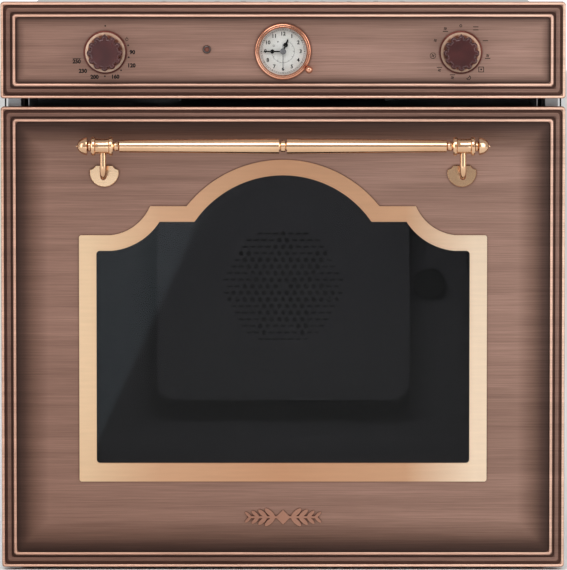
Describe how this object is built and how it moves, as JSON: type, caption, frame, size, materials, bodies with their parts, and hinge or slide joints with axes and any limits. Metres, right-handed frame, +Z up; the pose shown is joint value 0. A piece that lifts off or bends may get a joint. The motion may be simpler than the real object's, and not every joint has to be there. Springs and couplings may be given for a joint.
{
  "type": "wall oven",
  "caption": "Built-in wall oven with a copper-faced drop-down door, an arched window, a turned bar handle, a clock and two knobs.",
  "frame": {"origin": "middle of the overall box, on the plane that the oven stands on", "axes": "-Y is the front, where the door opens; +X to the right seen from the front; +Z up"},
  "size_m": [0.597, 0.622, 0.6025],
  "materials": {
    "antique_copper": "antique copper plating on steel, brushed from side to side, burnished dark at the beads",
    "polished_copper": "polished rose-gold plating",
    "burgundy_knob": "dark red-brown, glossy",
    "white_disc": "white, glossy",
    "dial_white": "white enamel dial",
    "hand_black": "black",
    "hand_grey": "grey",
    "pin_copper": "polished",
    "amber_lens": "amber, smooth",
    "clear_glass": "clear, smooth",
    "dark_glass": "dark tinted, smooth",
    "galvanised": "galvanised sheet",
    "black_enamel": "vitreous enamel, glossy",
    "inner_black": "black, satin",
    "wool": "glass wool",
    "gasket": "woven heat-proof seal",
    "heater": "heat-darkened steel tube",
    "bright_wire": "bright plated wire",
    "motor_steel": "bare steel laminations",
    "fan_steel": "bare metal",
    "switch_plastic": "moulded",
    "ceramic_holder": "unglazed",
    "gland_nylon": "moulded nylon",
    "shaft_steel": "turned"
  },
  "bodies": {
    "case": {"base_pan": "galvanised", "left_side_panel": "galvanised", "right_side_panel": "galvanised", "top_panel": "galvanised", "rear_cover": "galvanised", "case_screws": "shaft_steel", "front_frame": "galvanised", "terminal_box": "switch_plastic", "cable_gland": "gland_nylon", "cavity_liner": "black_enamel", "insulation": "wool", "door_gasket": "gasket", "fan_cover": "black_enamel", "fan_motor": "motor_steel", "ring_element": "heater", "grill_element": "heater", "bottom_element": "heater", "left_side_rack": "bright_wire", "right_side_rack": "bright_wire", "lamp_holder": "ceramic_holder", "lamp_lens": "clear_glass", "temperature_probe": "bright_wire", "air_duct": "galvanised", "blower_housing": "galvanised", "blower_motor": "motor_steel", "fascia_panel": "antique_copper", "control_bracket": "galvanised", "thermostat_body": "switch_plastic", "selector_body": "switch_plastic", "clock_movement": "switch_plastic", "knob_escutcheons": "polished_copper", "clock_bezel": "polished_copper", "clock_dial": "dial_white", "clock_glass": "clear_glass", "pilot_lamp": "amber_lens", "hinge_arms": "galvanised"},
    "door": {"door_panel": "antique_copper", "window_trim": "polished_copper", "outer_glass": "dark_glass", "middle_glass": "clear_glass", "inner_glass": "clear_glass", "door_inner_frame": "inner_black", "hinge_channels": "galvanised", "handle_bar": "polished_copper", "handle_ends": "polished_copper", "handle_stems": "polished_copper", "handle_rosettes": "polished_copper", "door_ornament": "antique_copper"},
    "thermostat": {"thermostat_knob": "burgundy_knob", "thermostat_disc": "white_disc", "thermostat_shaft": "shaft_steel"},
    "selector": {"selector_knob": "burgundy_knob", "selector_disc": "white_disc", "selector_shaft": "shaft_steel"},
    "minute": {"minute_hand": "hand_black"},
    "hour": {"hour_hand": "hand_black"},
    "timer": {"timer_hand": "hand_grey"},
    "pin": {"setting_pin": "pin_copper"},
    "fan": {"hot_air_fan": "fan_steel"},
    "blower": {"blower_rotor": "fan_steel"}
  },
  "joints": [
    {"name": "door_hinge", "type": "hinge", "parent": "case", "child": "door", "pos_m": [0, -0.247, 0.0085], "axis": [1, 0, 0], "range_deg": [0, 90], "stiffness_Nm_per_rad": 3, "springref_deg": -22.92},
    {"name": "thermostat_turn", "type": "hinge", "parent": "case", "child": "thermostat", "pos_m": [-0.1878, -0.26, 0.5495], "axis": [0, 1, 0], "range_deg": [0, 255]},
    {"name": "selector_turn", "type": "hinge", "parent": "case", "child": "selector", "pos_m": [0.1878, -0.26, 0.5495], "axis": [0, 1, 0], "continuous": true},
    {"name": "minute_turn", "type": "hinge", "parent": "case", "child": "minute", "pos_m": [0, -0.256, 0.5505], "axis": [0, 1, 0], "continuous": true},
    {"name": "hour_turn", "type": "hinge", "parent": "case", "child": "hour", "pos_m": [0, -0.256, 0.5505], "axis": [0, 1, 0], "continuous": true},
    {"name": "timer_turn", "type": "hinge", "parent": "case", "child": "timer", "pos_m": [0, -0.256, 0.5505], "axis": [0, 1, 0], "continuous": true},
    {"name": "pin_push", "type": "slide", "parent": "case", "child": "pin", "axis": [0, 1, 0], "range_m": [0, 0.003], "stiffness_N_per_m": 300, "springref_m": -0.001},
    {"name": "fan_spin", "type": "hinge", "parent": "case", "child": "fan", "pos_m": [0, 0.15, 0.27], "axis": [0, 1, 0], "continuous": true},
    {"name": "blower_spin", "type": "hinge", "parent": "case", "child": "blower", "pos_m": [0, 0.035, 0.516], "axis": [1, 0, 0], "continuous": true}
  ],
  "couplings": [
    {"joint": "hour_turn", "follows": "minute_turn", "ratio": 0.083333}
  ]
}
